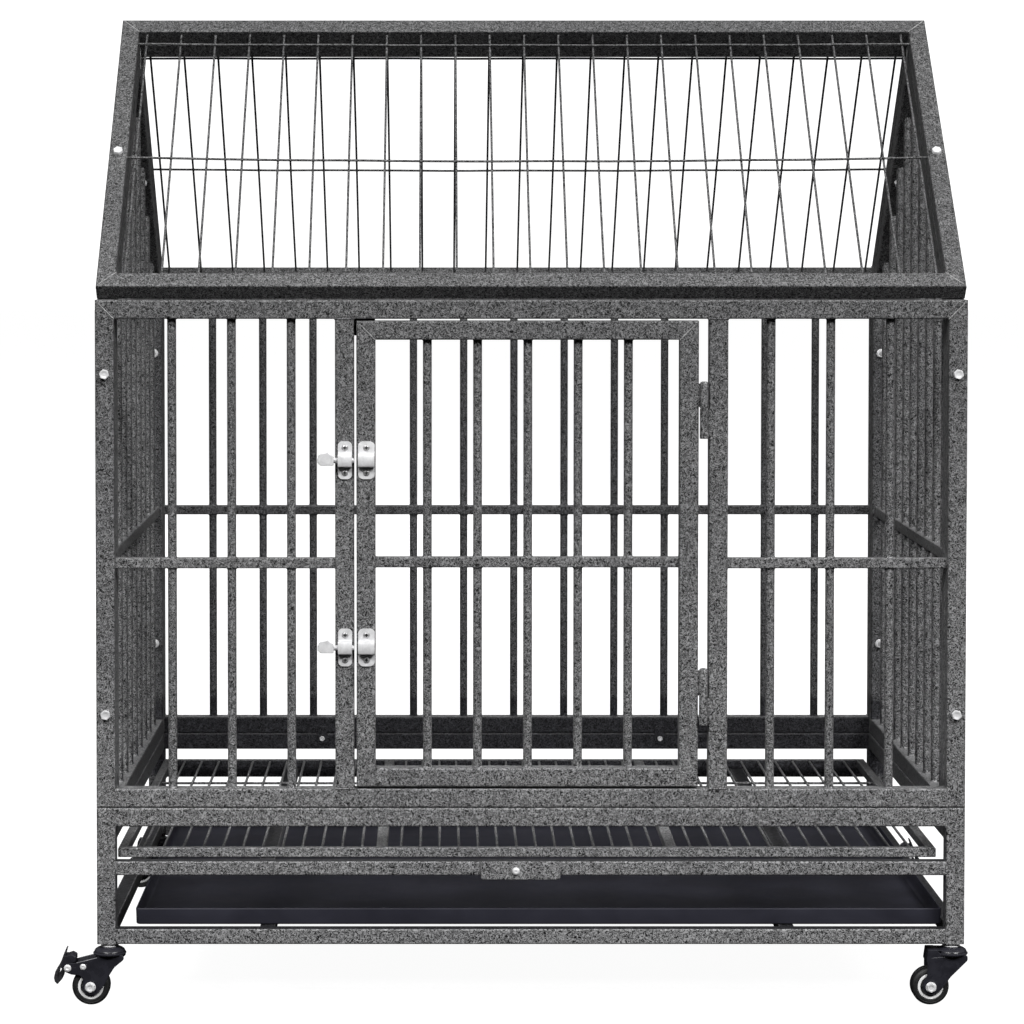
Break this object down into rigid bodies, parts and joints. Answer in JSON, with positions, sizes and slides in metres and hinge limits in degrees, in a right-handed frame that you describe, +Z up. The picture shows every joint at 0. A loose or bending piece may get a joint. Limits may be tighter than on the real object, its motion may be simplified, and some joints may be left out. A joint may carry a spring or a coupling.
{
  "type": "dog cage",
  "caption": "Steel dog cage with a wire gable roof, barred panels, hinged front door with slide bolts, slide-out grid and tray, on a stand with swivel castors",
  "frame": {"origin": "centre of the bounding box on the floor, at rest", "axes": "+X right seen from the door side, +Y to the rear, +Z up"},
  "size_m": [1.0106, 0.64, 1.0639],
  "materials": {
    "hammered_grey_paint": "hammered",
    "black_tray_paint": "gloss",
    "zinc_plate": "satin",
    "black_fork_paint": "satin",
    "light_grey_nylon": "satin",
    "black_rubber": "matte",
    "black_pedal_plastic": "matte"
  },
  "bodies": {
    "frame": {"front_panel": "hammered_grey_paint", "back_panel": "hammered_grey_paint", "side_panel_left": "hammered_grey_paint", "side_panel_right": "hammered_grey_paint", "roof_panel_front": "hammered_grey_paint", "roof_panel_back": "hammered_grey_paint", "stand_frame": "hammered_grey_paint", "rear_clip_left": "hammered_grey_paint", "rear_clip_right": "hammered_grey_paint", "frame_hinge_pin_upper": "hammered_grey_paint", "frame_hinge_pin_lower": "hammered_grey_paint", "panel_bolt_front_left_upper": "zinc_plate", "panel_bolt_front_left_lower": "zinc_plate", "panel_bolt_front_right_upper": "zinc_plate", "panel_bolt_front_right_lower": "zinc_plate", "panel_bolt_back_left_upper": "zinc_plate", "panel_bolt_back_left_lower": "zinc_plate", "panel_bolt_back_right_upper": "zinc_plate", "panel_bolt_back_right_lower": "zinc_plate", "roof_bolt_front_left": "zinc_plate", "roof_bolt_front_right": "zinc_plate", "roof_bolt_back_left": "zinc_plate", "roof_bolt_back_right": "zinc_plate", "stop_plate_bolt": "zinc_plate", "latch_keeper_upper": "zinc_plate", "latch_keeper_lower": "zinc_plate", "castor_front_left_stem": "zinc_plate", "castor_front_right_stem": "zinc_plate", "castor_rear_left_stem": "zinc_plate", "castor_rear_right_stem": "zinc_plate"},
    "door": {"door": "hammered_grey_paint", "door_hinge_sleeve_upper": "hammered_grey_paint", "door_hinge_sleeve_lower": "hammered_grey_paint", "latch_catch_upper": "zinc_plate", "latch_catch_lower": "zinc_plate"},
    "latch_slide_upper": {"latch_bolt_upper": "zinc_plate"},
    "latch_slide_lower": {"latch_bolt_lower": "zinc_plate"},
    "stop_plate": {"stop_plate": "hammered_grey_paint"},
    "tray": {"tray": "black_tray_paint"},
    "floor_grid": {"floor_grid": "hammered_grey_paint"},
    "castor_front_left_swivel": {"castor_front_left_fork": "black_fork_paint", "castor_front_left_axle": "zinc_plate"},
    "castor_front_left_wheel": {"castor_front_left_wheel": "light_grey_nylon", "castor_front_left_tyre": "black_rubber"},
    "castor_front_left_pedal": {"castor_front_left_pedal": "black_pedal_plastic"},
    "castor_front_right_swivel": {"castor_front_right_fork": "black_fork_paint", "castor_front_right_axle": "zinc_plate"},
    "castor_front_right_wheel": {"castor_front_right_wheel": "light_grey_nylon", "castor_front_right_tyre": "black_rubber"},
    "castor_rear_left_swivel": {"castor_rear_left_fork": "black_fork_paint", "castor_rear_left_axle": "zinc_plate"},
    "castor_rear_left_wheel": {"castor_rear_left_wheel": "light_grey_nylon", "castor_rear_left_tyre": "black_rubber"},
    "castor_rear_right_swivel": {"castor_rear_right_fork": "black_fork_paint", "castor_rear_right_axle": "zinc_plate"},
    "castor_rear_right_wheel": {"castor_rear_right_wheel": "light_grey_nylon", "castor_rear_right_tyre": "black_rubber"},
    "castor_rear_right_pedal": {"castor_rear_right_pedal": "black_pedal_plastic"}
  },
  "joints": [
    {"name": "door_hinge", "type": "hinge", "parent": "frame", "child": "door", "pos_m": [0.1822, -0.3078, 0.4801], "axis": [0, 0, 1], "range_deg": [0, 170]},
    {"name": "latch_upper_slide", "type": "slide", "parent": "frame", "child": "latch_slide_upper", "axis": [1, 0, 0], "range_m": [0, 0.0175]},
    {"name": "latch_lower_slide", "type": "slide", "parent": "frame", "child": "latch_slide_lower", "axis": [1, 0, 0], "range_m": [0, 0.0175]},
    {"name": "stop_plate_pivot", "type": "hinge", "parent": "frame", "child": "stop_plate", "pos_m": [-0.0158, -0.3081, 0.144], "axis": [0, -1, 0], "range_deg": [-90, 0]},
    {"name": "tray_slide", "type": "slide", "parent": "frame", "child": "tray", "axis": [0, -1, 0], "range_m": [0, 0.5]},
    {"name": "floor_grid_slide", "type": "slide", "parent": "frame", "child": "floor_grid", "axis": [0, -1, 0], "range_m": [0, 0.5]},
    {"name": "castor_front_left_swivel", "type": "hinge", "parent": "frame", "child": "castor_front_left_swivel", "pos_m": [-0.4475, -0.2968, 0.0571], "axis": [0, 0, 1], "continuous": true},
    {"name": "castor_front_left_spin", "type": "hinge", "parent": "castor_front_left_swivel", "child": "castor_front_left_wheel", "pos_m": [-0.467, -0.2968, 0.02], "axis": [0, 1, 0], "continuous": true},
    {"name": "castor_front_left_brake", "type": "hinge", "parent": "castor_front_left_swivel", "child": "castor_front_left_pedal", "pos_m": [-0.4911, -0.2968, 0.0405], "axis": [0, -1, 0], "range_deg": [0, 22]},
    {"name": "castor_front_right_swivel", "type": "hinge", "parent": "frame", "child": "castor_front_right_swivel", "pos_m": [0.4475, -0.2968, 0.0571], "axis": [0, 0, 1], "continuous": true},
    {"name": "castor_front_right_spin", "type": "hinge", "parent": "castor_front_right_swivel", "child": "castor_front_right_wheel", "pos_m": [0.4245, -0.2968, 0.02], "axis": [0, 1, 0], "continuous": true},
    {"name": "castor_rear_left_swivel", "type": "hinge", "parent": "frame", "child": "castor_rear_left_swivel", "pos_m": [-0.4475, 0.3032, 0.0571], "axis": [0, 0, 1], "continuous": true},
    {"name": "castor_rear_left_spin", "type": "hinge", "parent": "castor_rear_left_swivel", "child": "castor_rear_left_wheel", "pos_m": [-0.4705, 0.3032, 0.02], "axis": [0, 1, 0], "continuous": true},
    {"name": "castor_rear_right_swivel", "type": "hinge", "parent": "frame", "child": "castor_rear_right_swivel", "pos_m": [0.4475, 0.3032, 0.0571], "axis": [0, 0, 1], "continuous": true},
    {"name": "castor_rear_right_spin", "type": "hinge", "parent": "castor_rear_right_swivel", "child": "castor_rear_right_wheel", "pos_m": [0.467, 0.3032, 0.02], "axis": [0, 1, 0], "continuous": true},
    {"name": "castor_rear_right_brake", "type": "hinge", "parent": "castor_rear_right_swivel", "child": "castor_rear_right_pedal", "pos_m": [0.4911, 0.3032, 0.0405], "axis": [0, 1, 0], "range_deg": [0, 22]}
  ]
}
